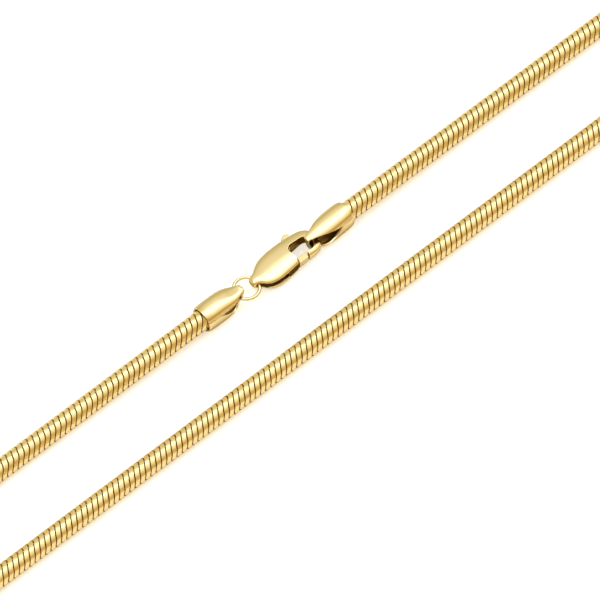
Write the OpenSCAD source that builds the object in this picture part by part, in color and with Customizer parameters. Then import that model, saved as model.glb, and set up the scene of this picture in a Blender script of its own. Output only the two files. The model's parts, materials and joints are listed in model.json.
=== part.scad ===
// Round snake chain necklace with folded end caps, a jump ring and a lobster clasp.
// It lies on a table as two long parallel strands, with the clasp in the rear strand.
// Origin: middle of the loop, on the table. +X runs along the strands, +Z is up.

/* [Chain] */
// Length of the closed necklace, measured along the middle of the chain
necklace_length = 500; // [460:5:600]
// Diameter of the chain
chain_d = 3; // [2.6:0.1:3.2]
// Distance between the two strands, middle to middle
strand_spacing = 13.3; // [12.5:0.1:16]
// Bend radius where a strand swings outwards before each end loop
swing_radius = 20; // [16:0.5:30]
// Bend radius of each end loop
loop_radius = 12; // [10:0.5:15]
// Length over which the chain climbs from the table to an end cap
climb_length = 24; // [16:1:32]

/* [End caps] */
// Length of an end cap from its rim to its folded tip
cap_length = 7.6; // [7:0.1:8.4]
// Thickness of the sheet that an end cap is folded from
cap_wall = 0.3; // [0.25:0.01:0.34]
// Play between the chain and the sleeve of a cap, on the radius
cap_play = 0.15; // [0.14:0.01:0.2]
// How far the chain goes into a cap
chain_insert = 2; // [1.6:0.1:2.2]
// Place of the tip of the cap that holds the jump ring, along the strand
ring_cap_tip = -5.25; // [-7:0.05:-4]
// Height of the eye that holds the jump ring
ring_eye = 1.5; // [1.3:0.05:1.7]
// Height of the eye that holds the hook
hook_eye = 2.84; // [2.75:0.01:2.95]
// Width of the seam between the two leaves of a cap
seam_width = 0.08; // [0.05:0.01:0.12]
// Angle by which the jump ring's fold leans back from its upper leaf
ring_fold_lean = 10; // [0:1:14]
// Angle by which the hook's fold leans back from its upper leaf
hook_fold_lean = 14; // [8:1:16]
// Radius of the fold's outer corners
fold_corner = 0.5; // [0.42:0.01:0.55]
// Distance of the caps from the middle line of the strand, towards the other strand
cap_aside = 0.17; // [0:0.01:0.25]

/* [Jump ring] */
// Outer diameter of the jump ring
ring_od = 4.22; // [4.1:0.02:4.6]
// Diameter of the ring's wire
wire_d = 0.52; // [0.44:0.01:0.54]
// Height of the middle of the ring's wire above the table
ring_height = 1.62; // [1.58:0.01:1.66]

/* [Clasp] */
// Length of the clasp from its tail to the nose of its hook
clasp_length = 12.2; // [11:0.1:13.4]
// Reach of the closed side, from the line through the tail
spine_reach = 2.7; // [2.6:0.02:2.9]
// Reach of the open side, from the line through the tail
belly_reach = 2.3; // [2.24:0.02:2.4]
// Thickness over both plates
clasp_thickness = 2.8; // [2.7:0.05:2.9]
// Height of the clasp's lowest point above the table
clasp_lift = 0.15; // [0.1:0.01:0.2]
// Distance of the tail from the middle line of the strand
tail_offset = 0.2; // [0.1:0.05:0.3]
// Angle between the clasp and the strand
clasp_turn = -2.5; // [-3.5:0.1:-1.5]
// Wall of the tail's eye, behind the jump ring
tail_wall = 0.33; // [0.3:0.01:0.38]
// Height of the tail's eye
tail_eye = 0.84; // [0.8:0.02:0.9]
// Thickness of the wall along the closed side
spine_wall = 0.5; // [0.4:0.05:0.6]
// Play between pieces that hold each other
link_play = 0.05; // [0.04:0.005:0.07]
// Thickness of the hook's nose in front of its hole
nose_wall = 1.05; // [0.95:0.05:1.15]
// Reach of the hook's tip, back from the nose
hook_tip_reach = 2.85; // [2.75:0.05:2.95]
// Length of the hook's hole between the middles of its round ends
hole_length = 1.7; // [1.5:0.05:1.9]
// Radius of the hole's rear end
hole_rear_r = 1.15; // [1.05:0.01:1.2]
// Radius of the hole's front end
hole_front_r = 1.2; // [1.1:0.01:1.25]
// Distance of the hole's front end from the clasp's line, on the closed side
hole_aside = 0.2; // [0.15:0.01:0.25]
// Play between the hook's nose and the tip of its cap
hook_play = 0.62; // [0.58:0.01:0.8]

/* [Lever] */
// Thickness of the lever between the plates
lever_thickness = 1; // [0.9:0.02:1.04]
// Thickness of the gate, which closes the hook
gate_thickness = 1.6; // [1.4:0.05:1.7]
// Play between the lever and each plate
lever_play = 0.1; // [0.06:0.01:0.12]
// Place of the pivot, along the clasp from its tail
pivot_along = 4.6; // [4.5:0.05:4.7]
// Distance of the pivot from the clasp's line, on the open side
pivot_aside = 0.6; // [0.55:0.01:0.65]
// Radius of the lever's hub
hub_r = 1.05; // [1:0.01:1.1]
// Half width of the thumb bar
thumb_r = 0.68; // [0.6:0.02:0.7]
// Length of the thick end of the gate
gate_length = 1.75; // [1.6:0.05:1.9]
// Width of the gate
gate_width = 0.95; // [0.85:0.05:1]
// Distance of the gate's outer edge from the edge of the plates
gate_inset = 0.05; // [0.03:0.01:0.1]
// Gap between the gate and the tip of the hook
mouth_gap = 0.25; // [0.2:0.01:0.35]
// Diameter of the hidden pin
pin_d = 0.9; // [0.8:0.05:1]
// Running play of the lever on the pin, on the radius
pin_play = 0.05; // [0.03:0.01:0.08]
// Play of the pin in the plates, on the radius
pin_bore_play = 0.02; // [0.01:0.01:0.03]
// Depth of the pin in each plate
pin_depth = 0.4; // [0.35:0.01:0.45]

/* [Hidden] */
gold = [0.83, 0.66, 0.30];
pale_gold = [0.88, 0.74, 0.42];
round_faces = 64;

// Sections of one leaf of an end cap from its rim to the fold. The half width is a share of
// the cap's radius, and the flattening goes from 0, as high as the sleeve, to 1, as high as
// the eye. The edge is the height of the leaf's side edge, as a share of its height at the fold.
// Columns: share of the length, half width, flattening, squareness, edge.
LEAF_ROWS = [
    [0.000, 0.905, 0.00, 2.0, 0.00],
    [0.025, 0.942, 0.00, 2.0, 0.00],
    [0.090, 0.988, 0.00, 2.0, 0.00],
    [0.200, 1.000, 0.00, 2.0, 0.00],
    [0.300, 1.000, 0.01, 2.0, 0.02],
    [0.440, 1.000, 0.04, 2.0, 0.34],
    [0.600, 0.955, 0.28, 2.2, 0.74],
    [0.720, 0.850, 0.60, 2.6, 0.93],
    [0.820, 0.690, 0.86, 3.0, 1.00],
    [0.900, 0.550, 1.00, 3.4, 1.00]
];
// From the rim up to this share of the length, a cap is a plain sleeve inside
sleeve_share = 0.2;
// Half width of the fold, as a share of the cap's radius
fold_half_width = 0.44;
fold_angles = [90, 60, 30, 0];
leaf_points = 15;
// Share of the wall by which a leaf's side edge stands above the eye
edge_share = 0.65;

// Sections of the clasp from its tail to its nose. Columns: share of the length, share of
// the spine's reach, share of the belly's reach, share of the half thickness, squareness.
CLASP_ROWS = [
    [0.000, 0.155, -0.140, 0.22, 2.4],
    [0.012, 0.225, -0.220, 0.42, 2.6],
    [0.032, 0.280, -0.285, 0.53, 3.0],
    [0.060, 0.320, -0.340, 0.58, 3.4],
    [0.097, 0.380, -0.470, 0.65, 3.8],
    [0.143, 0.600, -0.750, 0.76, 4.2],
    [0.210, 0.770, -0.930, 0.88, 4.4],
    [0.295, 0.875, -1.000, 0.96, 4.4],
    [0.380, 0.937, -0.965, 1.00, 4.4],
    [0.500, 0.985, -0.880, 1.00, 4.4],
    [0.600, 1.000, -0.790, 0.95, 4.2],
    [0.717, 1.030, -0.752, 0.82, 3.8],
    [0.820, 1.030, -0.745, 0.68, 3.4],
    [0.886, 0.980, -0.690, 0.58, 3.2],
    [0.937, 0.880, -0.590, 0.54, 3.0],
    [0.970, 0.740, -0.440, 0.51, 2.8],
    [0.991, 0.530, -0.250, 0.44, 2.6],
    [1.000, 0.350, -0.090, 0.32, 2.4]
];

// Slot between the plates, seen from the side. Columns: distance from the tail's inner face
// as a share of the clasp's length, share of the half eye at the tail.
EYE_ROWS = [[0.000, 0.55], [0.010, 0.90], [0.026, 1.00], [0.075, 1.12]];

// Shares of the clasp's length and of its spine's reach that place the lever's thumb bar
thumb_elbow = [0.61, 0.62];
thumb_end = [0.704, 1.18];
// Corners of the lever's web at its hub, as shares of the hub's radius
WEB_AT_HUB = [[-0.48, -0.57], [0.48, 0.86]];
// Shares of the clasp's length at which the gate's outer edge has a corner
GATE_SHARES = [0.44, 0.52, 0.60, 0.70, 0.80];
// The thick end of the gate reaches this share of the hub's radius past the pivot's line
gate_rise = 0.33;

// Shares of the clasp's length where the wall along the closed side starts, where it gives
// way to the thumb bar's slot, and where the slot has its full height
spine_wall_start = 0.12;
spine_slot_start = 0.39;
full_slot_start = 0.15;
// The slot ends this share of the hole's radius before the middle of its front end
slot_end_share = 0.26;
// Half width of the tail's eye, as a share of the spine's reach
tail_half_share = 0.3;

chain_r = chain_d / 2;
cap_bore = chain_r + cap_play;
cap_r = cap_bore + cap_wall;
strand_y = strand_spacing / 2;
ring_r = (ring_od - wire_d) / 2;
wire_r = wire_d / 2;
clasp_z = clasp_lift + clasp_thickness / 2;
slot_half = lever_thickness / 2 + lever_play;
pin_half = slot_half + pin_depth;
pivot = [pivot_along, -pivot_aside];
// Middles of the round ends of the hook's hole
hole_front = [clasp_length - nose_wall - hole_front_r, hole_aside];
hole_rear = [hole_front[0] - hole_length, hole_aside * 3 / 4];
// Reach of the gate from the pivot, to the tip of the hook
gate_reach = clasp_length - hook_tip_reach - mouth_gap - pivot_along;

// The jump ring bends away from a flat wall inside it, by this much at half the wall's width
function bow(half_width) = let(r = ring_r - wire_r) r - sqrt(r * r - half_width * half_width);
cap_tip_half = fold_half_width * cap_r;
tail_half = tail_half_share * spine_reach;
tail_y = strand_y - tail_offset;
cap_y = strand_y - cap_aside;
ring_y = (cap_y + tail_y) / 2;
fold_x = ring_cap_tip + (ring_height - cap_r) * tan(ring_fold_lean) - cap_wall;
ring_x = fold_x - (link_play + wire_r) / cos(ring_fold_lean) - bow(cap_tip_half) + ring_r;
tail_x = ring_x + ring_r - wire_r - bow(tail_half) - link_play - tail_wall;

// Turns a place in the clasp's own plane into one on the table
function on_table(p) = [
    tail_x + p[0] * cos(clasp_turn) - p[1] * sin(clasp_turn),
    tail_y + p[0] * sin(clasp_turn) + p[1] * cos(clasp_turn)
];

// The hook's cap stands off the inside of the hook's nose and is turned towards its strand
nose_inside = on_table([hole_front[0] + hole_front_r, hole_front[1]]);
hook_cap_tip = [nose_inside[0] - hook_play - cap_wall, nose_inside[1]];
hook_cap_turn = asin((cap_y - hook_cap_tip[1]) / cap_length);
hook_cap_rim = [hook_cap_tip[0] + cap_length * cos(hook_cap_turn), cap_y];
ring_cap_rim = [ring_cap_tip - cap_length, cap_y];

// Each end of the necklace: the strands swing out by an angle, then close in a round loop
swing = acos((strand_y + swing_radius) / (swing_radius + loop_radius));
end_length = (2 * swing_radius * swing + loop_radius * (180 + 2 * swing)) * PI / 180;
straight_end = (necklace_length - 2 * end_length) / 4;
loop_x = straight_end + (swing_radius + loop_radius) * sin(swing);
swing_steps = 4;
loop_steps = 18;
climb_steps = 6;

function arc(centre, r, from, to, steps) = [
    for (i = [0:steps]) let(a = from + (to - from) * i / steps)
        [centre[0] + r * cos(a), centre[1] + r * sin(a)]
];

// The right-hand end, from the front strand round to the rear strand
swing_y = strand_y + swing_radius;
end_points = concat(
    arc([straight_end, -swing_y], swing_radius, 90, 90 - swing, swing_steps),
    arc([loop_x, 0], loop_radius, -90 - swing, 90 + swing, loop_steps),
    arc([straight_end, swing_y], swing_radius, -90 - swing, -90, swing_steps)
);
function turned(points) = [for (p = points) -p];

// The chain leaves the jump ring's cap, goes round the left end, along the front strand,
// round the right end, and into the hook's cap
function lifted(p, z) = [p[0], p[1], z];
function ease(t) = t * t * (3 - 2 * t);
function climb(rim_x, way) = [
    for (i = [0:climb_steps]) let(t = i / climb_steps)
        [rim_x + way * t * climb_length, cap_y + cap_aside * ease(t),
         cap_r + (chain_r - cap_r) * ease(t)]
];
function backwards(list) = [for (i = [len(list) - 1:-1:0]) list[i]];
ROUTE = concat(
    [[ring_cap_rim[0] + chain_insert, cap_y, cap_r]],
    climb(ring_cap_rim[0], -1),
    [for (p = turned(end_points)) lifted(p, chain_r)],
    [for (p = end_points) lifted(p, chain_r)],
    backwards(climb(hook_cap_rim[0], 1)),
    [[hook_cap_rim[0] - chain_insert * cos(hook_cap_turn),
      cap_y - chain_insert * sin(hook_cap_turn), cap_r]]
);
// Sections that are closer than this share of the diameter are drawn once
same_place = 0.1;
route = [
    for (i = [0:len(ROUTE) - 1])
        if (i == 0 || norm(ROUTE[i] - ROUTE[i - 1]) > same_place * chain_d) ROUTE[i]
];

function unit(v) = v / norm(v);
function heading(i) = unit(route[min(i + 1, len(route) - 1)] - route[max(i - 1, 0)]);
tube_sides = 8;

// One ring of the tube, whose flat sides lie at the chain's radius, one of them on the table
function tube_ring(i) =
    let(along = heading(i), side = unit([-along[1], along[0], 0]), up = cross(along, side),
        r = chain_r / cos(180 / tube_sides))
    [for (k = [0:tube_sides - 1]) let(a = (k + 0.5) * 360 / tube_sides)
        route[i] + r * (side * cos(a) + up * sin(a))];

// Skin over equal rings of points, closed at both ends
module skin(rings) {
    sides = len(rings[0]);
    last = len(rings) - 1;
    points = [for (ring = rings) for (p = ring) p];
    walls = [
        for (i = [0:last - 1]) for (k = [0:sides - 1])
            let(a = i * sides + k, b = i * sides + (k + 1) % sides)
            for (f = [[a, b + sides, b], [a, a + sides, b + sides]]) f
    ];
    front = [for (k = [0:sides - 1]) k];
    rear = [for (k = [sides - 1:-1:0]) last * sides + k];
    polyhedron(points, concat(walls, [front, rear]));
}

// Smooth curve through the rows of a table, with more rows between them
function between(rows, i, t) =
    let(last = len(rows) - 1, a = rows[max(i - 1, 0)], b = rows[i],
        c = rows[min(i + 1, last)], d = rows[min(i + 2, last)])
    (2 * b + (c - a) * t + (2 * a - 5 * b + 4 * c - d) * t * t
        + (3 * b - a - 3 * c + d) * t * t * t) / 2;
function smooth_rows(rows, steps) = concat(
    [for (i = [0:len(rows) - 2]) for (s = [0:steps - 1]) between(rows, i, s / steps)],
    [rows[len(rows) - 1]]
);

// Rounded section across X, between y = low and y = high, with a squareness from 2, an oval
function power_of(v, e) = sign(v) * pow(abs(v), e);
function oval(x, low, high, half_height, squareness, sides) =
    [for (k = [0:sides - 1]) let(a = 360 * (k + 0.5) / sides, e = 2 / squareness)
        [x, (high + low) / 2 + (high - low) / 2 * power_of(cos(a), e),
         half_height * power_of(sin(a), e)]];

// Straight bar with round ends, in the plane
module bar(from, to, from_r, to_r) {
    way = unit(to - from);
    lean = asin((from_r - to_r) / norm(to - from));
    heading = atan2(way[1], way[0]);
    left = [cos(heading + 90 - lean), sin(heading + 90 - lean)];
    right = [cos(heading - 90 + lean), sin(heading - 90 + lean)];
    translate(from) circle(r = from_r, $fn = round_faces);
    translate(to) circle(r = to_r, $fn = round_faces);
    polygon([from + from_r * right, to + to_r * right, to + to_r * left, from + from_r * left]);
}

// The fold leans: the upper leaf reaches further than the lower one, more so near the tip
function leaned(p, lean) =
    [p[0] + p[2] * tan(lean) * ease(max(0, 2 * p[0] / cap_length - 1)), p[1], p[2]];

// Height of a leaf at the fold, over its crown and at its side edges
function fold_height(eye) = eye / 2 + cap_wall;
function edge_height(eye) = eye / 2 + edge_share * cap_wall;

// A leaf's crown at a row, and the angle at which its section starts
function crown(row, eye) = row[0] < sleeve_share
    ? cap_r * row[1] : cap_r + (fold_height(eye) - cap_r) * row[2];
function edge_angle(row, eye) =
    asin(pow(max(row[4] * edge_height(eye), seam_width / 2) / crown(row, eye), row[3] / 2));

// Angles across a leaf from its left edge to its right edge
function across(start) =
    [for (k = [0:leaf_points - 1]) start + (180 - 2 * start) * k / (leaf_points - 1)];

// Section of the upper leaf, side = 1, or of the lower leaf, side = -1
function leaf_arc(row, eye, half_width, height, side) =
    let(e = 2 / row[3])
    [for (a = across(edge_angle(row, eye)))
        [row[0] * cap_length, half_width * power_of(cos(a), e), side * height * power_of(sin(a), e)]];
function leaf_section(row, eye, side) =
    let(w = row[1] * cap_r, h = crown(row, eye),
        inner_w = row[0] < sleeve_share ? cap_bore : w - cap_wall,
        inner_h = row[0] < sleeve_share ? cap_bore : h - cap_wall)
    concat(leaf_arc(row, eye, w, h, side), backwards(leaf_arc(row, eye, inner_w, inner_h, side)));

// Section of the fold where it faces up or down by an angle, round its upper or lower corner
function fold_arc(row, eye, half_width, height, turn, side) =
    let(e = 2 / row[3], corner = height - fold_height(eye) + fold_corner)
    [for (a = across(edge_angle(row, eye)))
        let(d = corner - height * (1 - power_of(sin(a), e)))
        [cap_length - fold_corner + d * cos(turn), half_width * power_of(cos(a), e),
         side * (fold_height(eye) - fold_corner + d * sin(turn))]];
function fold_section(eye, turn, side) =
    let(row = LEAF_ROWS[len(LEAF_ROWS) - 1], w = fold_half_width * cap_r, h = fold_height(eye))
    concat(fold_arc(row, eye, w, h, turn, side),
           backwards(fold_arc(row, eye, w - cap_wall / 2, h - cap_wall, turn, side)));

// An end cap is one strip: two leaves round the chain, folded over at the tip into an eye
module cap(eye, lean) {
    rows = smooth_rows(LEAF_ROWS, 2);
    sections = concat(
        [for (row = rows) leaf_section(row, eye, 1)],
        [for (a = fold_angles) fold_section(eye, a, 1)],
        [for (a = backwards(fold_angles)) fold_section(eye, a, -1)],
        [for (row = backwards(rows)) leaf_section(row, eye, -1)]
    );
    skin([for (section = sections) [for (p = section) leaned(p, lean)]]);
}

module in_clasp() {
    translate([tail_x, tail_y, clasp_z]) rotate([0, 0, clasp_turn]) children();
}

module slab(half_height) {
    translate([0, 0, -half_height]) linear_extrude(2 * half_height) children();
}

clasp_sides = 32;
clasp_rows = smooth_rows(CLASP_ROWS, 2);
function clasp_ring(row) = oval(row[0] * clasp_length, row[2] * belly_reach, row[1] * spine_reach,
                                row[3] * clasp_thickness / 2, row[4], clasp_sides);

// The hook's hole and its mouth, which the gate closes
module hook_opening() {
    far = 2 * spine_reach;
    difference() {
        union() {
            bar(hole_rear, hole_front, hole_rear_r, hole_front_r);
            intersection() {
                translate(pivot) circle(r = gate_reach + mouth_gap, $fn = round_faces);
                translate([pivot[0] + hub_r, -far]) square([far + hub_r, far + hole_front[1]]);
            }
        }
        translate(pivot) circle(r = gate_reach - gate_length, $fn = round_faces);
    }
}

// Where the plates stand apart, seen from above: all but the wall along the closed side
module slot_plan() {
    far = 2 * spine_reach;
    start = spine_wall_start * clasp_length;
    end = spine_slot_start * clasp_length;
    spine = [
        for (row = clasp_rows) let(x = row[0] * clasp_length)
            if (x > start && x < end) [x, row[1] * spine_reach - spine_wall]
    ];
    difference() {
        union() {
            translate([0, -far]) square([hole_rear[0], 2 * far]);
            translate([0, hole_rear[1] + hole_rear_r / 2])
                square([hole_front[0] - slot_end_share * hole_front_r, far]);
        }
        polygon(concat([[start, far], [start, spine[0][1]]], spine,
                       [[end, spine[len(spine) - 1][1]], [end, far]]));
    }
}

// The slot from the side: low at the tail's eye, then as high as the lever needs
module slot_profile() {
    inner = tail_wall;
    eye = [for (row = EYE_ROWS) [inner + row[0] * clasp_length, row[1] * tail_eye / 2]];
    upper = concat(eye, [[full_slot_start * clasp_length, slot_half], [clasp_length, slot_half]]);
    lower = [for (p = backwards(upper)) [p[0], -p[1]]];
    translate([0, 2 * spine_reach, 0]) rotate([90, 0, 0])
        linear_extrude(4 * spine_reach) polygon(concat(upper, lower));
}

module snake_chain() {
    color(gold) skin([for (i = [0:len(route) - 1]) tube_ring(i)]);
}

module cap_ring_side() {
    color(pale_gold) translate(lifted(ring_cap_rim, cap_r)) cap(ring_eye, ring_fold_lean);
}

module cap_hook_side() {
    color(pale_gold) translate(lifted(hook_cap_rim, cap_r))
        rotate([0, 0, 180 + hook_cap_turn]) cap(hook_eye, hook_fold_lean);
}

module jump_ring() {
    color(gold) translate([ring_x, ring_y, ring_height])
        rotate_extrude($fn = round_faces) translate([ring_r, 0]) circle(r = wire_r, $fn = 24);
}

module clasp_body() {
    color(pale_gold) in_clasp() difference() {
        skin([for (row = clasp_rows) clasp_ring(row)]);
        slab(clasp_thickness) hook_opening();
        intersection() {
            slot_profile();
            slab(clasp_thickness) slot_plan();
        }
        translate(pivot) cylinder(r = pin_d / 2 + pin_bore_play, h = 2 * (pin_half + pin_bore_play),
                                  center = true, $fn = round_faces);
    }
}

// Edge of the clasp on the open side at a share of its length, a little inside the plates
function belly(share) = [
    share * clasp_length,
    belly_reach * lookup(share, [for (row = clasp_rows) [row[0], row[2]]]) + gate_inset
];

module lever_web() {
    edge = [for (s = GATE_SHARES) belly(s)];
    last = edge[len(edge) - 1];
    elbow = [thumb_elbow[0] * clasp_length, thumb_elbow[1] * spine_reach];
    end = [thumb_end[0] * clasp_length, thumb_end[1] * spine_reach];
    translate(pivot) circle(r = hub_r, $fn = round_faces);
    bar(pivot, elbow, thumb_r, thumb_r);
    bar(elbow, end, thumb_r, thumb_r);
    intersection() {
        translate(pivot) circle(r = gate_reach, $fn = round_faces);
        polygon(concat([pivot + hub_r * WEB_AT_HUB[0]], edge,
                       [last + [0, gate_width], edge[2] + [0, gate_width],
                        pivot + hub_r * WEB_AT_HUB[1]]));
    }
}

module gate_plan() {
    intersection() {
        lever_web();
        difference() {
            translate(pivot + [0, -hub_r - gate_width])
                square([clasp_length, hub_r * (1 + gate_rise) + gate_width]);
            translate(pivot)
                circle(r = gate_reach - gate_length + 2 * lever_play, $fn = round_faces);
        }
    }
}

module clasp_lever() {
    color(gold) in_clasp() difference() {
        union() {
            slab(lever_thickness / 2) lever_web();
            slab(gate_thickness / 2) gate_plan();
        }
        translate(pivot) cylinder(r = pin_d / 2 + pin_play, h = 2 * clasp_thickness,
                                  center = true, $fn = round_faces);
    }
}

module clasp_pin() {
    color("gray") in_clasp() translate(pivot)
        cylinder(d = pin_d, h = 2 * pin_half, center = true, $fn = round_faces);
}

snake_chain();
cap_ring_side();
cap_hook_side();
jump_ring();
clasp_body();
clasp_lever();
clasp_pin();
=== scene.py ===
import json
import math
import bpy
from mathutils import Matrix, Vector


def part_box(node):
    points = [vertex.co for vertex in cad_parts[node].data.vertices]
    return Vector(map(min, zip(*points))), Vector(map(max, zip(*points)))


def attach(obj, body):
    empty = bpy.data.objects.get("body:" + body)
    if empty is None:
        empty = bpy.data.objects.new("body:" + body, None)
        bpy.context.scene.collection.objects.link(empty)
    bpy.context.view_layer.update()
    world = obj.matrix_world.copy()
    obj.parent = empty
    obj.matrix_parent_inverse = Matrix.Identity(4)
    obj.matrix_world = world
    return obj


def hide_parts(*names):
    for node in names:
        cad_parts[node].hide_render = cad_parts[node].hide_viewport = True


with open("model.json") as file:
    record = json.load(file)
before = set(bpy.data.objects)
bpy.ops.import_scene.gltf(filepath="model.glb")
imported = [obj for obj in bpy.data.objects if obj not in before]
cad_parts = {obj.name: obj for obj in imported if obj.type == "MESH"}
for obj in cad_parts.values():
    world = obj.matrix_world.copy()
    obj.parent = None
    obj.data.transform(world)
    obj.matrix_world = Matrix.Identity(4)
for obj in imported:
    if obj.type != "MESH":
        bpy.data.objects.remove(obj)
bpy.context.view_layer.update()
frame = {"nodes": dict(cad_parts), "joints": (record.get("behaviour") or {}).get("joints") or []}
bpy.ops.object.select_all(action="DESELECT")


# Snake chain. The real one is nearly 500 narrow rings of gilded brass. Each is bent into a
# shallow wave and hooked into the next, so that the rings slide as the chain bends.
def box_mm(node):
    """Lowest and highest corner of a node of the frame, in millimetres."""
    return [corner * 1000 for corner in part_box(node)]


def tidy(piece, name):
    """Brings a piece modelled in millimetres to metres, with its place in its mesh."""
    piece.name = name
    piece.data.name = name
    piece.data.transform(Matrix.Scale(0.001, 4) @ piece.matrix_world)
    piece.matrix_world = Matrix.Identity(4)
    piece.select_set(False)


def apply_modifiers(piece):
    """Makes the piece's modifiers part of its mesh, in their order."""
    bpy.context.view_layer.objects.active = piece
    for modifier in list(piece.modifiers):
        bpy.ops.object.modifier_apply(modifier=modifier.name)


# Distance between the points of the chain's route
ROUTE_STEP = 1


def arc(centre, radius, start, stop):
    """Points along a round stretch of the route, without its last one, angles in degrees."""
    steps = round(math.radians(abs(stop - start)) * radius / ROUTE_STEP)
    angles = [math.radians(start + (stop - start) * i / steps) for i in range(steps)]
    return [(centre[0] + radius * math.cos(a), centre[1] + radius * math.sin(a)) for a in angles]


def straight(start, stop):
    """Points along a straight stretch of the route, without its last one."""
    steps = round(math.dist(start, stop) / ROUTE_STEP)
    return [tuple(a + (b - a) * i / steps for a, b in zip(start, stop)) for i in range(steps)]


def ease(t):
    """Goes from 0 to 1 with a soft start and a soft end."""
    return t * t * (3 - 2 * t)


CHAIN_RADIUS = 1.5
# Distance of each strand from the necklace's middle line
STRAND_Y = 6.65
SWING_RADIUS = 20
LOOP_RADIUS = 12
# Length over which the rear strand rises to each cap
CLIMB_LENGTH = 24
# How far the chain reaches into each cap
CHAIN_INSERT = 2
# How far the turned cap's rim stands out past its middle
HOOK_RIM_LEAN = 0.08

chain_high = box_mm("snake_chain")[1]
ring_cap_low, ring_cap_high = box_mm("cap_ring_side")
hook_cap_high = box_mm("cap_hook_side")[1]
cap_y = (ring_cap_low.y + ring_cap_high.y) / 2
cap_z = (ring_cap_low.z + ring_cap_high.z) / 2
ring_rim_x = ring_cap_low.x
hook_rim_x = hook_cap_high.x - HOOK_RIM_LEAN
loop_x = chain_high.x - LOOP_RADIUS - CHAIN_RADIUS
swing = math.degrees(math.acos((STRAND_Y + SWING_RADIUS) / (SWING_RADIUS + LOOP_RADIUS)))
straight_end = loop_x - (SWING_RADIUS + LOOP_RADIUS) * math.sin(math.radians(swing))

right_end = (
    arc((straight_end, -STRAND_Y - SWING_RADIUS), SWING_RADIUS, 90, 90 - swing)
    + arc((loop_x, 0), LOOP_RADIUS, -90 - swing, 90 + swing)
    + arc((straight_end, STRAND_Y + SWING_RADIUS), SWING_RADIUS, -90 + swing, -90)
)
left_end = [(-x, -y) for x, y in right_end]


def rear(x, rim_x):
    """A place on the rear strand, which rises from the table and stands aside near the caps."""
    t = ease(min(1, max(0, abs(x - rim_x) / CLIMB_LENGTH)))
    return x, cap_y + (STRAND_Y - cap_y) * t, cap_z + (CHAIN_RADIUS - cap_z) * t


# The rings keep the same face up on both strands, which takes a twist round each end loop
REAR_TWIST = math.radians(-53.3)


def twisted(end, start, stop):
    """An end loop of the route on the table, with its twist easing from start to stop."""
    return [(x, y, CHAIN_RADIUS, start + (stop - start) * ease(i / len(end)))
            for i, (x, y) in enumerate(end)]


def rear_strand(start_x, stop_x, rim_x):
    """A half of the rear strand, between an end loop and the rim of its cap."""
    return [(*rear(x, rim_x), REAR_TWIST) for (x,) in straight((start_x,), (stop_x,))]


front_strand = straight((-straight_end, -STRAND_Y), (straight_end, -STRAND_Y))
route = (
    rear_strand(ring_rim_x + CHAIN_INSERT, -straight_end, ring_rim_x)
    + twisted(left_end, REAR_TWIST, 0)
    + twisted(front_strand, 0, 0)
    + twisted(right_end, 0, REAR_TWIST)
    + rear_strand(straight_end, hook_rim_x - CHAIN_INSERT, hook_rim_x)
)
path = bpy.data.curves.new("chain_route", "CURVE")
path.dimensions = "3D"
path.twist_mode = "Z_UP"
spline = path.splines.new("POLY")
spline.points.add(len(route) - 1)
for point, (x, y, z, twist) in zip(spline.points, route):
    point.co = (x, y, z, 1)
    point.tilt = twist
chain_route = bpy.data.objects.new("chain_route", path)
bpy.context.collection.objects.link(chain_route)
route_length = sum(
    (Vector(a[:3]) - Vector(b[:3])).length for a, b in zip(route, route[1:])
)

RING_PITCH = 0.9765
RING_SIDES = 24
# Section of a ring's band, each row a place along the chain and a radius
BAND = [(-0.45, 1.15), (-0.38, CHAIN_RADIUS), (0.38, CHAIN_RADIUS), (0.45, 1.15)]
# Edges of a ring that are sharper than this show as edges
EDGE_ANGLE = math.radians(28)
# What counts as the same place, in millimetres or radians
TINY = 0.01
# Angle round the chain of the middle of the waves
WAVE_PLACE = math.radians(116.66)
# Height and start of a ring's two waves, and of what makes their backs steep
WAVES = [(0.72, -174), (0.21, -3), (0.05, -145)]


def wave(angle):
    """How far a ring leans along the chain at an angle round it."""
    turn = 2 * (angle - WAVE_PLACE)
    return sum(
        height * math.sin(n * turn + math.radians(start))
        for n, (height, start) in enumerate(WAVES, 1)
    )


# How fine the clouds in the tint and the rubbing marks are, and the marks' depth in metres
CLOUD_SCALE = 260
MARK_SCALE = 2600
MARK_DEPTH = 0.00002
# Share of the tint left in the darkest cloud, and shares between which the roughness varies
DARKEST_TINT = 0.94
SMOOTHEST = 0.8
ROUGHEST = 1.25


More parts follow.
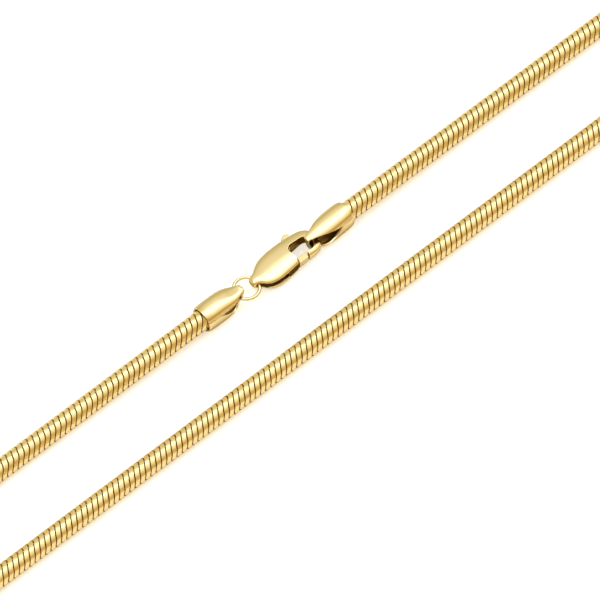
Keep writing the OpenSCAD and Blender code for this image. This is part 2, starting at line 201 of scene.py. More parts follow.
def gold(name, tint, edge_tint, roughness, bump, metal=1):
    """Polished gilding: its tint varies a little, and fine rubbing marks vary its gloss."""
    material = bpy.data.materials.new(name)
    material.use_nodes = True
    nodes = material.node_tree.nodes
    links = material.node_tree.links
    shader = nodes["Principled BSDF"]
    shader.inputs["Metallic"].default_value = metal
    shader.inputs["Specular Tint"].default_value = (*edge_tint, 1)
    place = nodes.new("ShaderNodeTexCoord")
    clouds = nodes.new("ShaderNodeTexNoise")
    clouds.inputs["Scale"].default_value = CLOUD_SCALE
    clouds.inputs["Detail"].default_value = 3
    colour = nodes.new("ShaderNodeMix")
    colour.data_type = "RGBA"
    colour.inputs["A"].default_value = (*tint, 1)
    colour.inputs["B"].default_value = (*[c * DARKEST_TINT for c in tint], 1)
    marks = nodes.new("ShaderNodeTexNoise")
    marks.inputs["Scale"].default_value = MARK_SCALE
    marks.inputs["Detail"].default_value = 4
    gloss = nodes.new("ShaderNodeMapRange")
    gloss.inputs["To Min"].default_value = roughness * SMOOTHEST
    gloss.inputs["To Max"].default_value = roughness * ROUGHEST
    relief = nodes.new("ShaderNodeBump")
    relief.inputs["Strength"].default_value = bump
    relief.inputs["Distance"].default_value = MARK_DEPTH
    links.new(place.outputs["Object"], clouds.inputs["Vector"])
    links.new(place.outputs["Object"], marks.inputs["Vector"])
    links.new(clouds.outputs["Fac"], colour.inputs["Factor"])
    links.new(colour.outputs["Result"], shader.inputs["Base Color"])
    links.new(marks.outputs["Fac"], gloss.inputs["Value"])
    links.new(gloss.outputs["Result"], shader.inputs["Roughness"])
    links.new(marks.outputs["Fac"], relief.inputs["Height"])
    links.new(relief.outputs["Normal"], shader.inputs["Normal"])
    return material


# Tints of the gold where it is seen from the side
SOFT_EDGE = (0.95, 0.9, 0.75)
DEEP_EDGE = (0.42, 0.33, 0.18)
GROOVE_SHADE_EDGE = (0.5, 0.3, 0.04)
# The thin gilding of the rings has a slight haze
CHAIN_METAL = 0.86
chain_gold = gold("chain_gold", (0.98, 0.79, 0.39), SOFT_EDGE, 0.22, 0.1, CHAIN_METAL)
# The rings' flanks, down in the grooves, get a darker and browner gold: painted shade in the
# grooves
groove_shade_gold = gold("groove_shade_gold", (0.72, 0.42, 0.03), GROOVE_SHADE_EDGE, 0.4, 0.3)

bpy.ops.mesh.primitive_circle_add(
    vertices=RING_SIDES, radius=BAND[0][1], location=(0, 0, 0), rotation=(0, math.pi / 2, 0)
)
chain = bpy.context.object
bpy.ops.object.transform_apply(location=True, rotation=True, scale=True)
bpy.ops.object.mode_set(mode="EDIT")
bpy.ops.mesh.select_all(action="SELECT")
bpy.ops.transform.translate(value=(BAND[0][0], 0, 0))
for (x0, r0), (x1, r1) in zip(BAND, BAND[1:]):
    bpy.ops.mesh.extrude_region_move(TRANSFORM_OT_translate={"value": (x1 - x0, 0, 0)})
    bpy.ops.transform.resize(value=(1, r1 / r0, r1 / r0), center_override=(x1, 0, 0))
bpy.ops.object.mode_set(mode="OBJECT")
# The band's two rims are joined, which closes the ring
for edge in chain.data.edges:
    start_x, stop_x = (chain.data.vertices[v].co.x for v in edge.vertices)
    on_rim = abs(abs(start_x) - BAND[-1][0]) < TINY
    edge.select = on_rim and abs(start_x - stop_x) < TINY
bpy.ops.object.mode_set(mode="EDIT")
bpy.ops.mesh.bridge_edge_loops()
bpy.ops.mesh.select_all(action="SELECT")
bpy.ops.mesh.normals_make_consistent(inside=False)
bpy.ops.object.mode_set(mode="OBJECT")
chain.data.materials.clear()
chain.data.materials.append(chain_gold)
chain.data.materials.append(groove_shade_gold)
# Faces off the crown of a band, its flanks in the grooves, take the darker gold of painted shade
for face in chain.data.polygons:
    corners = [chain.data.vertices[v].co for v in face.vertices]
    face.material_index = 0 if min(c.yz.length for c in corners) > CHAIN_RADIUS - TINY else 1
for vertex in chain.data.vertices:
    vertex.co.x += wave(math.atan2(vertex.co.z, vertex.co.y))
rings = int(route_length / RING_PITCH) - 1
pitch = route_length / (rings + 1)
for vertex in chain.data.vertices:
    vertex.co.x += pitch
row = chain.modifiers.new("row", "ARRAY")
row.use_relative_offset = False
row.use_constant_offset = True
row.constant_offset_displace = (pitch, 0, 0)
row.count = rings
bend = chain.modifiers.new("bend", "CURVE")
bend.object = chain_route
bend.deform_axis = "POS_X"
apply_modifiers(chain)
bpy.ops.object.shade_smooth_by_angle(angle=EDGE_ANGLE)
bpy.data.objects.remove(chain_route)
tidy(chain, "chain_rings")
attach(chain, "necklace")
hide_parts("snake_chain")


# End caps. Each is a stamped strip of gilded sheet, folded double over the chain's end and
# closed round it. The fold leaves an eye, and each side has a notch that runs into a seam.

# Each row: a place along the cap, then there the leaf's width, how flat and how square it is,
# and how far its edge has come from the seam to the fold
LEAF_ROWS = [
    (0.000, 0.930, 0.00, 2.1, 0.00),
    (0.030, 0.970, 0.00, 2.3, 0.00),
    (0.090, 0.985, 0.02, 2.5, 0.00),
    (0.200, 0.980, 0.03, 2.8, 0.00),
    (0.300, 0.980, 0.04, 2.8, 0.06),
    (0.440, 0.980, 0.07, 2.8, 0.40),
    (0.600, 0.955, 0.28, 2.8, 0.74),
    (0.720, 0.850, 0.60, 2.9, 0.93),
    (0.820, 0.690, 0.86, 3.1, 1.00),
    (0.900, 0.550, 1.00, 3.4, 1.00),
]
CAP_LENGTH = 7.6
CAP_RADIUS = 1.95
CAP_WALL = 0.3
SEAM_WIDTH = 0.08
# How far above the middle the seam runs, because the lower leaf is the deeper one
SEAM_RISE = 1.0
# Where a leaf's edge stands at the fold, as a share of the wall beside the eye
EDGE_SHARE = 0.65
FOLD_HALF_WIDTH = 0.44
FOLD_CORNER = 0.5
EDGE_CREASE = 0.55
# Faces across the strip, between two rows and round half the fold
ACROSS = 20
ROW_STEPS = 3
FOLD_STEPS = 6


def between(rows, place):
    """A row of a table at any place from 0 to 1 along it, on a smooth curve through the rows."""
    last = len(rows) - 1
    i = min(int(place * last), last - 1)
    t = place * last - i
    a, b, c, d = (rows[min(max(k, 0), last)] for k in range(i - 1, i + 3))
    return [
        (2 * q + (r - p) * t + (2 * p - 5 * q + 4 * r - s) * t * t
         + (3 * q - p - 3 * r + s) * t ** 3) / 2
        for p, q, r, s in zip(a, b, c, d)
    ]


def power_of(value, exponent):
    """A power that keeps the value's sign."""
    return math.copysign(abs(value) ** exponent, value)


def leaf_point(place, across, eye, side):
    """A point on a leaf's outside: its distance from the rim, aside and from the middle."""
    share, wide, flat, square, edge = between(LEAF_ROWS, place)
    fold_height = eye / 2 + CAP_WALL
    crown = CAP_RADIUS + (fold_height - CAP_RADIUS) * flat
    edge_height = max(edge * (eye / 2 + EDGE_SHARE * CAP_WALL), SEAM_WIDTH / 2)
    edge_height += side * SEAM_RISE * (1 - edge)
    start = math.asin(power_of(max(-1, min(1, edge_height / crown)), square / 2))
    angle = start + (math.pi - 2 * start) * across
    aside = wide * CAP_RADIUS * power_of(math.cos(angle), 2 / square)
    return share * CAP_LENGTH, aside, crown * power_of(math.sin(angle), 2 / square)


def fold_point(turn, across, eye):
    """A point on the fold's outside, from 0 at the upper leaf to 90 degrees at its middle."""
    square = LEAF_ROWS[-1][3]
    height = eye / 2 + CAP_WALL
    edge_height = eye / 2 + EDGE_SHARE * CAP_WALL
    start = math.asin((edge_height / height) ** (square / 2))
    angle = start + (math.pi - 2 * start) * across
    aside = FOLD_HALF_WIDTH * CAP_RADIUS * power_of(math.cos(angle), 2 / square)
    reach = FOLD_CORNER - height * (1 - power_of(math.sin(angle), 2 / square))
    return (CAP_LENGTH - FOLD_CORNER + reach * math.sin(turn), aside,
            height - FOLD_CORNER + reach * math.cos(turn))


def folded_cap(name, node, eye, lean, place, turn, roll):
    """Folds one cap from a flat strip, and seats it with its rim's middle at a place."""
    # Steps along the strip, from the rim over a leaf and then to the middle of the fold
    leaf_steps = ROW_STEPS * (len(LEAF_ROWS) - 1)
    half = leaf_steps + FOLD_STEPS + 1
    bpy.ops.mesh.primitive_grid_add(x_subdivisions=ACROSS, y_subdivisions=2 * half + 1, size=2)
    cap = bpy.context.object
    for vertex in cap.data.vertices:
        across = (vertex.co.x + 1) / 2
        step = round((vertex.co.y + 1) / 2 * (2 * half + 1))
        side = 1 if step <= half else -1
        step = step if side > 0 else 2 * half + 1 - step
        if step <= leaf_steps:
            x, y, z = leaf_point(step / leaf_steps, across, eye, side)
        else:
            turned = math.pi / 2 * (step - leaf_steps - 1) / FOLD_STEPS
            x, y, z = fold_point(turned, across, eye)
        z *= side
        x += z * math.tan(math.radians(lean)) * ease(max(0, 2 * x / CAP_LENGTH - 1))
        vertex.co = (x, y, z)
    bpy.ops.object.mode_set(mode="EDIT")
    bpy.ops.mesh.select_all(action="SELECT")
    bpy.ops.mesh.normals_make_consistent(inside=False)
    bpy.ops.object.mode_set(mode="OBJECT")
    cap.data.materials.clear()
    cap.data.materials.append(polished_gold)
    cap.data.materials.append(inner_shade_gold)
    # The wall's inner faces take the dark brown gold of painted shade inside the cap
    wall = cap.modifiers.new("wall", "SOLIDIFY")
    wall.material_offset = 1
    wall.thickness = CAP_WALL
    wall.offset = -1
    wall.use_even_offset = True
    wall.use_quality_normals = True
    wall.edge_crease_rim = EDGE_CREASE
    wall.edge_crease_outer = EDGE_CREASE
    wall.edge_crease_inner = EDGE_CREASE
    skin = cap.modifiers.new("skin", "SUBSURF")
    skin.levels = 2
    skin.render_levels = 2
    apply_modifiers(cap)
    bpy.ops.object.shade_smooth()
    cap.matrix_world = (Matrix.Translation(place) @ Matrix.Rotation(turn, 4, "Z")
                        @ Matrix.Rotation(roll, 4, "X"))
    tidy(cap, name)
    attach(cap, "necklace")
    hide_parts(node)


polished_gold = gold("polished_gold", (0.96, 0.78, 0.43), DEEP_EDGE, 0.09, 0.05)
# Dark brown gold for the inside of the caps' sheet: painted shade inside the folded cap
inner_shade_gold = gold("inner_shade_gold", (0.40, 0.22, 0.05), DEEP_EDGE, 0.3, 0.5)
# Height of each cap's eye, and how many degrees its leaves lean back from there
RING_EYE = 1.5
RING_LEAN = 10
HOOK_EYE = 2.84
HOOK_LEAN = 14
# The hook's cap points back at the clasp, a little askew
HOOK_TURN = math.radians(182.39)
# The chain turns each cap a little on its long axis
CAP_ROLL = math.radians(2)
folded_cap("ring_cap", "cap_ring_side", RING_EYE, RING_LEAN, (ring_rim_x, cap_y, cap_z),
           0, CAP_ROLL)
folded_cap("hook_cap", "cap_hook_side", HOOK_EYE, HOOK_LEAN, (hook_rim_x, cap_y, cap_z),
           HOOK_TURN, -CAP_ROLL)


# Jump ring. A round ring bent from gilded wire, whose ends are pressed together. It holds
# the clasp's tail to the fold of its cap, and the joint lies hidden in that fold.
ring_low, ring_high = box_mm("jump_ring")
wire_radius = (ring_high.z - ring_low.z) / 2
ring_radius = (ring_high.x - ring_low.x) / 2 - wire_radius
# Share of the wire's thickness that is left at the joint
JOINT_SHARE = 0.93
bpy.ops.mesh.primitive_torus_add(
    location=(ring_low + ring_high) / 2, major_radius=ring_radius, minor_radius=wire_radius,
    major_segments=96, minor_segments=28,
)
ring = bpy.context.object
centre = Vector((-ring_radius, 0, 0))
for vertex in ring.data.vertices:
    turn = math.atan2(vertex.co.y, vertex.co.x)
    if abs(abs(turn) - math.pi) < TINY:
        vertex.co = centre + (vertex.co - centre) * JOINT_SHARE
bpy.ops.object.shade_smooth()
tidy(ring, "wire_ring")
WIRE_EDGE = (0.16, 0.13, 0.05)
wire_gold = gold("wire_gold", (0.96, 0.84, 0.52), WIRE_EDGE, 0.12, 0.05)
ring.data.materials.clear()
ring.data.materials.append(wire_gold)
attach(ring, "necklace")
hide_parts("jump_ring")


# Clasp body. A lobster clasp cast in brass in one piece and gilded: two domed plates, joined
# along the closed side, with a tail that hangs in the jump ring and a hook with a blunt nose.

# Each row: a place along the clasp, then there the reach of its closed side and of its open
# side, its thickness and how square its section is
CLASP_ROWS = [
    (0.000, 0.230, -0.160, 0.22, 2.4),
    (0.012, 0.300, -0.240, 0.42, 2.8),
    (0.032, 0.350, -0.300, 0.53, 3.6),
    (0.060, 0.395, -0.350, 0.58, 4.2),
    (0.097, 0.470, -0.480, 0.65, 4.8),
    (0.143, 0.630, -0.750, 0.76, 5.8),
    (0.210, 0.800, -0.930, 0.88, 6.8),
    (0.295, 0.910, -1.000, 0.96, 7.4),
    (0.380, 0.975, -0.965, 1.00, 7.4),
    (0.500, 1.020, -0.880, 1.00, 7.4),
    (0.600, 1.030, -0.790, 0.95, 7.0),
    (0.717, 1.040, -0.752, 0.82, 6.0),
    (0.820, 1.030, -0.745, 0.68, 5.0),
    (0.886, 0.980, -0.690, 0.58, 4.2),
    (0.937, 0.880, -0.590, 0.54, 3.4),
    (0.970, 0.740, -0.440, 0.51, 3.0),
    (0.991, 0.530, -0.250, 0.44, 2.6),
    (1.000, 0.350, -0.090, 0.32, 2.4),
]
CLASP_LENGTH = 12.2
SPINE_REACH = 2.7
BELLY_REACH = 2.3
CLASP_THICKNESS = 2.8
# How much thinner the plates get from their middle to their edge
BELLY_DOME = 0.2
SPINE_DOME = 0.1
# The closed side is rounder than the open one
SPINE_SQUARE = 4.4
# How deep and how high the upper plate is hollowed along its edge on the open side
HOLLOW_DEPTH = 0.6
HOLLOW_TOP = 0.8
# Shares of the clasp's length at which the hollow starts and ends
HOLLOW_START = 0.14
HOLLOW_END = 0.66
# Height of the hollow from the side, each row a place along the clasp and a height
HOLLOW_ROWS = [(1.6, 0.5), (2.3, 0.64), (3.2, 0.76), (4.2, HOLLOW_TOP), (8.2, HOLLOW_TOP)]
# The lower plate has a raised lip on the open side, in front of the lever's hub
LIP_DEPTH = 0.4
LIP_TOP = -0.3
# How far outside the clasp the lip's ends run out, and their places as shares of its length
LIP_MARGIN = 0.15
LIP_START = 0.1
LIP_END = 0.47
CLASP_TURN = math.radians(-2.5)
PIVOT = Vector((4.6, -0.6, 0))
GATE_REACH = 4.5
GATE_LENGTH = 1.75
MOUTH_GAP = 0.25
HUB_RADIUS = 1.05
HOLE_REAR = Vector((8.25, 0.15, 0))
HOLE_FRONT = Vector((9.95, 0.2, 0))
HOLE_REAR_RADIUS = 1.15
HOLE_FRONT_RADIUS = 1.2
SPINE_WALL = 0.5
SLOT_HALF = 0.6
# The slot from the side: place along the clasp and half height
SLOT_ROWS = [(0.33, 0.231), (0.452, 0.378), (0.647, 0.42), (1.245, 0.47), (1.83, SLOT_HALF)]
# Between these shares of the clasp's length its closed side has a whole wall
SPINE_WALL_START = 0.12
SPINE_SLOT_START = 0.39
# Where the slot ends beside the hole
SLOT_END = 9.64
# Half height of what limits the slot in plan, and steps in which it follows the clasp
PLAN_HALF = 1
PLAN_STEPS = 59
# Faces round the casting and along it, before it is cut, and how near an end is a pole
CAST_SIDES = 128
CAST_STEPS = 102
POLE = 0.001
ROUND_SIDES = 96
# Past every side of the clasp
FAR = 6
# Fineness of the polished castings, and how often each is smoothed
GRAIN = 0.05
CLASP_PASSES = 7
LEVER_PASSES = 5

pivot_on_table = Vector(frame["joints"][0]["pos_m"]) * 1000
clasp_place = (Matrix.Translation(pivot_on_table) @ Matrix.Rotation(CLASP_TURN, 4, "Z")
               @ Matrix.Translation(-PIVOT))


def plate_dome(across):
    """Share of the plates' height left at a place across them, from -1 at the open side to 1."""
    return 1 - (SPINE_DOME if across > 0 else BELLY_DOME) * across ** 2


def cast_point(place, angle):
    """A point on the clasp's skin, at a place from 0 to 1 along it and an angle round it."""
    share, spine, belly, thick, square = between(CLASP_ROWS, place)
    high, low = spine * SPINE_REACH, belly * BELLY_REACH
    across, up = math.cos(angle), math.sin(angle)
    if across > 0:
        square = min(square, SPINE_SQUARE)
    reach = (abs(across) ** square + abs(up) ** square) ** (-1 / square)
    dome = plate_dome(reach * across)
    return Vector((share * CLASP_LENGTH, (high + low) / 2 + (high - low) / 2 * reach * across,
                   thick * CLASP_THICKNESS / 2 * reach * up * dome))


def round_bar(start, stop, start_radius, stop_radius, half_height):
    """A bar with round ends, the hull of two cylinders."""
    pair = []
    for place, radius in ((start, start_radius), (stop, stop_radius)):
        bpy.ops.mesh.primitive_cylinder_add(
            vertices=ROUND_SIDES, radius=radius, depth=2 * half_height, location=place
        )
        pair.append(bpy.context.object)
    for piece in pair:
        piece.select_set(True)
    bpy.ops.object.join()
    bar = bpy.context.object
    bpy.ops.object.transform_apply(location=True, rotation=True, scale=True)
    bpy.ops.object.mode_set(mode="EDIT")
    bpy.ops.mesh.select_all(action="SELECT")
    bpy.ops.mesh.convex_hull()
    bpy.ops.object.mode_set(mode="OBJECT")
    bar.select_set(False)
    return bar


def disc(place, radius, half_height):
    """A round plate with its axis upright."""
    bpy.ops.mesh.primitive_cylinder_add(
        vertices=ROUND_SIDES, radius=radius, depth=2 * half_height, location=place
    )
    cylinder = bpy.context.object
    bpy.ops.object.transform_apply(location=True, rotation=True, scale=True)
    cylinder.select_set(False)
    return cylinder


def block(low, high):
    """A block between two corners."""
    low, high = Vector(low), Vector(high)
    bpy.ops.mesh.primitive_cube_add(size=1, location=(low + high) / 2, scale=high - low)
    cube = bpy.context.object
    bpy.ops.object.transform_apply(location=True, rotation=True, scale=True)
    cube.select_set(False)
    return cube


def extruded(outline, depth):
    """A flat outline given in space, extruded by a vector."""
    mesh = bpy.data.meshes.new("outline")
    mesh.from_pydata(outline, [], [range(len(outline))])
    solid = bpy.data.objects.new("outline", mesh)
    bpy.context.collection.objects.link(solid)
    bpy.context.view_layer.objects.active = solid
    solid.select_set(True)
    bpy.ops.object.mode_set(mode="EDIT")
    bpy.ops.mesh.select_all(action="SELECT")
    bpy.ops.mesh.extrude_region_move(TRANSFORM_OT_translate={"value": depth})
    bpy.ops.mesh.select_all(action="SELECT")
    bpy.ops.mesh.normals_make_consistent(inside=False)
    bpy.ops.object.mode_set(mode="OBJECT")
    solid.select_set(False)
    return solid


def solid_beside(line, side_y, height):
    """What lies between a line in plan and a far side, up or down to a height."""
    start, stop = line[0], line[-1]
    return extruded([(start[0], side_y, start[2])] + line + [(stop[0], side_y, stop[2])],
                    (0, 0, height))


def combined(piece, tool, operation):
    """Adds, keeps or cuts with another solid, which is used up."""
    cut = piece.modifiers.new("cut", "BOOLEAN")
    cut.object = tool
    cut.operation = operation
    cut.solver = "EXACT"
    apply_modifiers(piece)
    bpy.data.objects.remove(tool)
    return piece


def polished(piece, passes):
    """Rounds all edges a little, as tumbling and polishing do."""
    piece.data.remesh_voxel_size = GRAIN
    bpy.context.view_layer.objects.active = piece
    bpy.ops.object.voxel_remesh()
    soften = piece.modifiers.new("soften", "SMOOTH")
    soften.factor = 0.5
    soften.iterations = passes
    apply_modifiers(piece)
    piece.select_set(True)
    bpy.ops.object.shade_smooth()


def rows_along(steps):
    """The clasp's rows at even steps along it."""
    return [between(CLASP_ROWS, i / steps) for i in range(steps + 1)]


bpy.ops.mesh.primitive_uv_sphere_add(segments=CAST_SIDES, ring_count=CAST_STEPS, radius=1)
clasp = bpy.context.object
for vertex in clasp.data.vertices:
    place = 0.5 + math.asin(max(-1, min(1, vertex.co.z))) / math.pi
    if POLE < place < 1 - POLE:
        vertex.co = cast_point(place, math.atan2(vertex.co.y, vertex.co.x))
    else:
        ends = [cast_point(round(place), a * math.pi / 2) for a in range(4)]
        vertex.co = sum(ends, Vector()) / 4
clasp.select_set(True)
bpy.ops.object.mode_set(mode="EDIT")
bpy.ops.mesh.select_all(action="SELECT")
bpy.ops.mesh.normals_make_consistent(inside=False)
bpy.ops.object.mode_set(mode="OBJECT")
clasp.select_set(False)

gate_sweep = disc(PIVOT, GATE_REACH + MOUTH_GAP, FAR)
beyond_hub = block((PIVOT.x + HUB_RADIUS, -2 * FAR, -2 * FAR), (2 * FAR, HOLE_FRONT.y, 2 * FAR))
mouth = combined(gate_sweep, beyond_hub, "INTERSECT")
opening = round_bar(HOLE_REAR, HOLE_FRONT, HOLE_REAR_RADIUS, HOLE_FRONT_RADIUS, FAR)
opening = combined(opening, mouth, "UNION")
opening = combined(opening, disc(PIVOT, GATE_REACH - GATE_LENGTH, 2 * FAR), "DIFFERENCE")
combined(clasp, opening, "DIFFERENCE")

upper = [(x, -FAR, z) for x, z in SLOT_ROWS] + [(CLASP_LENGTH, -FAR, SLOT_HALF)]
lower = [(x, y, -z) for x, y, z in reversed(upper)]
slot = extruded(upper + lower, (0, 2 * FAR, 0))
plan = block((-PLAN_HALF, -2 * FAR, -PLAN_HALF), (HOLE_REAR.x, 2 * FAR, PLAN_HALF))
beside_hole = block((-PLAN_HALF, HOLE_REAR.y + HOLE_REAR_RADIUS / 2, -PLAN_HALF),
                    (SLOT_END, 2 * FAR, PLAN_HALF))
plan = combined(plan, beside_hole, "UNION")

spine = []
lip = []
hollow = []
for share, spine_share, belly_share, _, _ in rows_along(PLAN_STEPS):
    x = share * CLASP_LENGTH
    belly_y = belly_share * BELLY_REACH
    if SPINE_WALL_START < share < SPINE_SLOT_START:
        spine.append((x, spine_share * SPINE_REACH - SPINE_WALL, -2 * PLAN_HALF))
    if HOLLOW_START < share < HOLLOW_END:
        hollow.append((x, belly_y + HOLLOW_DEPTH, 0))
    if LIP_START < share < LIP_END:
        t = (share - LIP_START) / (LIP_END - LIP_START)
        rise = (LIP_DEPTH + LIP_MARGIN) * math.sin(math.pi * t) - LIP_MARGIN
        lip.append((x, belly_y + rise, LIP_TOP))
plan = combined(plan, solid_beside(spine, FAR, 4 * PLAN_HALF), "DIFFERENCE")
slot = combined(slot, plan, "INTERSECT")
slot = combined(slot, solid_beside(lip, -FAR, -FAR), "DIFFERENCE")
combined(clasp, slot, "DIFFERENCE")
hollow = solid_beside(hollow, -FAR, FAR)
side_view = [(x, -FAR, z) for x, z in HOLLOW_ROWS]
side_view += [(HOLLOW_ROWS[-1][0], -FAR, 0), (HOLLOW_ROWS[0][0], -FAR, 0)]
hollow = combined(hollow, extruded(side_view, (0, 2 * FAR, 0)), "INTERSECT")
combined(clasp, hollow, "DIFFERENCE")
polished(clasp, CLASP_PASSES)


# How near a wall of the hole counts as that wall, and where the outer skin ends
WALL_SKIN = 0.08
SKIN_SHARE = 0.94
# How much of its normal points up on an upright face at most, and on a flat one at least
UPRIGHT = 0.6
FLAT = 0.5
SKIN_STEPS = 50
skin_rows = rows_along(SKIN_STEPS)


def in_opening(point):
    """Whether a point of the casting lies on a wall of the hook's hole or mouth."""
    t = min(1, max(0, (point.x - HOLE_REAR.x) / (HOLE_FRONT.x - HOLE_REAR.x)))
    middle = HOLE_REAR.lerp(HOLE_FRONT, t)
    radius = HOLE_REAR_RADIUS + (HOLE_FRONT_RADIUS - HOLE_REAR_RADIUS) * t
    return (point.xy - middle.xy).length < radius + WALL_SKIN


def below_skin(point):
    """Whether a point of the casting lies deeper than its outer skin."""
    _, spine, belly, thick, square = min(
        skin_rows, key=lambda row: abs(row[0] * CLASP_LENGTH - point.x))
    high, low = spine * SPINE_REACH, belly * BELLY_REACH
    across = (2 * point.y - high - low) / (high - low)
    up = point.z / (thick * CLASP_THICKNESS / 2 * plate_dome(across))
    if across > 0:
        square = min(square, SPINE_SQUARE)
    return (abs(across) ** square + abs(up) ** square) ** (1 / square) < SKIN_SHARE


def on_lip(face):
    """Whether a face is part of the top of the lower plate's lip."""
    return face.normal.z > FLAT and LIP_TOP - WALL_SKIN < face.center.z < 0


# Near-black gold for the walls of the hook's hole and the lever's hidden web: painted shade in
# these recesses
recess_shade_gold = gold("recess_shade_gold", (0.15, 0.085, 0.02), DEEP_EDGE, 0.45, 0.5)
# Darker gold for the walls of the slot between the plates: painted shade
slot_shade_gold = gold("slot_shade_gold", (0.66, 0.47, 0.18), DEEP_EDGE, 0.4, 0.5)
clasp.data.materials.clear()
clasp.data.materials.append(polished_gold)
clasp.data.materials.append(slot_shade_gold)
clasp.data.materials.append(recess_shade_gold)
# The slot's walls get painted shade at half brightness, and the walls of the hole a near-black
# painted shade
for face in clasp.data.polygons:
    if below_skin(face.center):
        if abs(face.normal.z) < UPRIGHT and in_opening(face.center):
            face.material_index = 2
        elif abs(face.center.z) < HOLLOW_TOP + WALL_SKIN and not on_lip(face):
            face.material_index = 1
clasp.matrix_world = clasp_place
tidy(clasp, "clasp_casting")
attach(clasp, "necklace")
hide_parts("clasp_body")


# Clasp lever. The gate that closes the hook and the bar for the thumb, cast in one piece,
# which turns on a pin between the plates. It starts as a merged copy of the frame's solid.
lever = frame["nodes"]["clasp_lever"].copy()
lever.data = lever.data.copy()
lever.parent = None
# The copy doesn't keep the frame's own marks
for key in list(lever.keys()):
    del lever[key]
bpy.context.collection.objects.link(lever)
bpy.context.view_layer.objects.active = lever
lever.select_set(True)
lever.data.transform(Matrix.Scale(1000, 4))
bpy.ops.object.mode_set(mode="EDIT")
bpy.ops.mesh.select_all(action="SELECT")
bpy.ops.mesh.remove_doubles(threshold=0.001)
bpy.ops.object.mode_set(mode="OBJECT")
polished(lever, LEVER_PASSES)
to_clasp = clasp_place.inverted()
# The gate is thinner than the web, and lies on this side of a line along the clasp
GATE_THINNING = 0.8
GATE_EDGE = 0.5
GATE_MARGIN = 0.1
# The thumb bar's end is a little shorter, past a line along the clasp
THUMB_EDGE = 2.5
THUMB_SHARE = 0.7
THUMB_PASSES = 40
# The web lies hidden between the plates up to this line, and is painted near-black there as
# shade
WEB_EDGE = 2
gate_start = PIVOT.x + GATE_REACH - GATE_LENGTH
satin_gold = gold("satin_gold", (0.95, 0.76, 0.42), DEEP_EDGE, 0.2, 0.3)
lever.data.materials.clear()
lever.data.materials.append(satin_gold)
lever.data.materials.append(recess_shade_gold)
thumb = lever.vertex_groups.new(name="thumb")
for vertex in lever.data.vertices:
    place = to_clasp @ vertex.co
    if place.y > THUMB_EDGE:
        thumb.add([vertex.index], ease(min(1, 2 * (place.y - THUMB_EDGE))), "REPLACE")
        place.y = THUMB_EDGE + (place.y - THUMB_EDGE) * THUMB_SHARE
    elif place.x > gate_start - GATE_MARGIN and place.y < GATE_EDGE:
        place.z *= GATE_THINNING
    vertex.co = clasp_place @ place
rounding = lever.modifiers.new("rounding", "SMOOTH")
rounding.vertex_group = "thumb"
rounding.factor = 0.5
rounding.iterations = THUMB_PASSES
apply_modifiers(lever)
lever.vertex_groups.clear()
# The hidden web takes the near-black gold of painted shade between the plates
for face in lever.data.polygons:
    place = to_clasp @ face.center
    face.material_index = 1 if place.x < gate_start and place.y < WEB_EDGE else 0
tidy(lever, "gate_and_thumb_bar")
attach(lever, "lever")
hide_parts("clasp_lever")


# Clasp pin. A plain round pin, riveted in both plates, which the lever turns on. It keeps
# the frame's shape.
pin = frame["nodes"]["clasp_pin"]
pin.data.materials.clear()
pin.data.materials.append(satin_gold)


# Floor, light and camera. White paper under a long softbox.
FLOOR_SIZE = 8
PAPER_WHITE = 0.92
# Glow of the paper as the object sees it, and as the camera does
PAPER_GLOW = 0.02
PAPER_GLARE = 0.42
bpy.ops.mesh.primitive_plane_add(size=FLOOR_SIZE, location=(0, 0, 0))
floor = bpy.context.object
floor.name = "floor"
paper = bpy.data.materials.new("white_paper")
paper.use_nodes = True
nodes = paper.node_tree.nodes
links = paper.node_tree.links
sheet = nodes["Principled BSDF"]
sheet.inputs["Base Color"].default_value = (PAPER_WHITE, PAPER_WHITE, PAPER_WHITE, 1)
sheet.inputs["Roughness"].default_value = 0.9
sheet.inputs["Specular IOR Level"].default_value = 0
sheet.inputs["Emission Color"].default_value = (1, 1, 1, 1)
# The paper is overexposed, so that only the darkest of its shadows shows
rays = nodes.new("ShaderNodeLightPath")
glow = nodes.new("ShaderNodeMapRange")
glow.inputs["To Min"].default_value = PAPER_GLOW
glow.inputs["To Max"].default_value = PAPER_GLARE
links.new(rays.outputs["Is Camera Ray"], glow.inputs["Value"])
links.new(glow.outputs["Result"], sheet.inputs["Emission Strength"])
floor.data.materials.append(paper)

world = bpy.data.worlds.new("studio")
bpy.context.scene.world = world
world.use_nodes = True
nodes = world.node_tree.nodes
links = world.node_tree.links
sky = nodes["Background"]
direction = nodes.new("ShaderNodeTexCoord")
split = nodes.new("ShaderNodeSeparateXYZ")
angle = nodes.new("ShaderNodeMath")
angle.operation = "ARCTAN2"
turn_share = nodes.new("ShaderNodeMath")
turn_share.operation = "DIVIDE"
turn_share.inputs[1].default_value = math.pi
ramp = nodes.new("ShaderNodeValToRGB")
SOFTBOX = 2.6
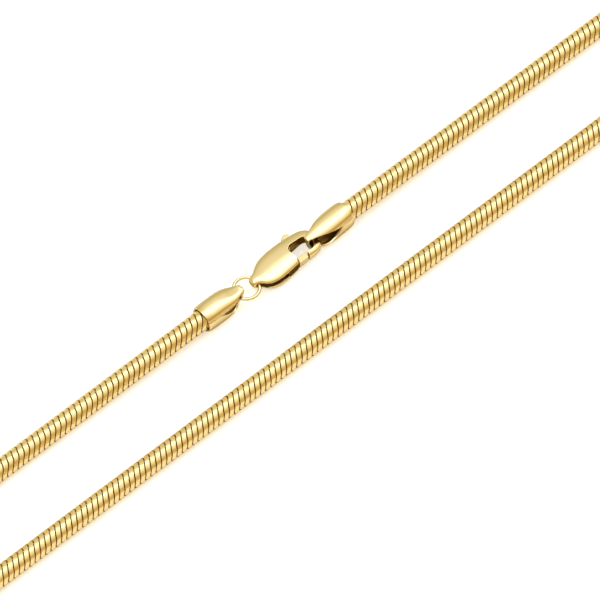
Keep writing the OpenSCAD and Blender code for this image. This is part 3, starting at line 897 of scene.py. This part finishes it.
# Light that comes from each angle, from the front horizon over the top to the rear one.
# Each row: the angle in degrees, then red, green and blue
LIGHT_BY_ANGLE = [
    (0, 0.62, 0.58, 0.46), (15, 0.60, 0.56, 0.38), (30, 0.66, 0.62, 0.42),
    (42, 0.74, 0.70, 0.50), (52, 0.86, 0.82, 0.67), (62.5, 0.95, 0.91, 0.80),
    (67, 1.30, 1.30, 1.25), (72, 2.30, 2.25, 2.20), (84, 2.40, 2.35, 2.30),
    (92, 1.70, 1.70, 1.65), (102, 1.20, 1.20, 1.15), (117, 1.00, 0.98, 0.82),
    (127, 0.95, 0.82, 0.52), (136, 0.76, 0.57, 0.27), (145, 0.59, 0.41, 0.15),
    (165, 0.57, 0.39, 0.14), (172, 0.70, 0.54, 0.29), (180, 0.95, 0.86, 0.66),
]
elements = ramp.color_ramp.elements
elements[0].position = 0
elements[1].position = 1
for row in LIGHT_BY_ANGLE[1:-1]:
    elements.new(row[0] / 180)
for element, (_, *light) in zip(elements, LIGHT_BY_ANGLE):
    element.color = (*[c / SOFTBOX for c in light], 1)
sky.inputs["Strength"].default_value = SOFTBOX
white = nodes.new("ShaderNodeBackground")
rays = nodes.new("ShaderNodeLightPath")
mix = nodes.new("ShaderNodeMixShader")
links.new(direction.outputs["Generated"], split.inputs["Vector"])
links.new(split.outputs["Z"], angle.inputs[0])
links.new(split.outputs["Y"], angle.inputs[1])
links.new(angle.outputs["Value"], turn_share.inputs[0])
links.new(turn_share.outputs["Value"], ramp.inputs["Fac"])
links.new(ramp.outputs["Color"], sky.inputs["Color"])
links.new(rays.outputs["Is Camera Ray"], mix.inputs["Fac"])
links.new(sky.outputs["Background"], mix.inputs[1])
links.new(white.outputs["Background"], mix.inputs[2])
links.new(mix.outputs["Shader"], nodes["World Output"].inputs["Surface"])

PHOTO_WIDTH_MM = 84.5
AZIMUTH = math.radians(-41.9)
ELEVATION = math.radians(56)
SENSOR_WIDTH = 36
LENS = 800
back = Vector((math.sin(AZIMUTH) * math.cos(ELEVATION),
               -math.cos(AZIMUTH) * math.cos(ELEVATION), math.sin(ELEVATION)))
camera = bpy.data.objects.new("camera", bpy.data.cameras.new("camera"))
bpy.context.collection.objects.link(camera)
camera.data.sensor_width = SENSOR_WIDTH
camera.data.lens = LENS
distance = PHOTO_WIDTH_MM * 0.001 * LENS / SENSOR_WIDTH
camera.location = Vector((0, 0, CHAIN_RADIUS * 0.001)) + back * distance
camera.rotation_euler = back.to_track_quat("Z", "Y").to_euler()
bpy.context.scene.camera = camera
bpy.context.scene.view_settings.view_transform = "Standard"
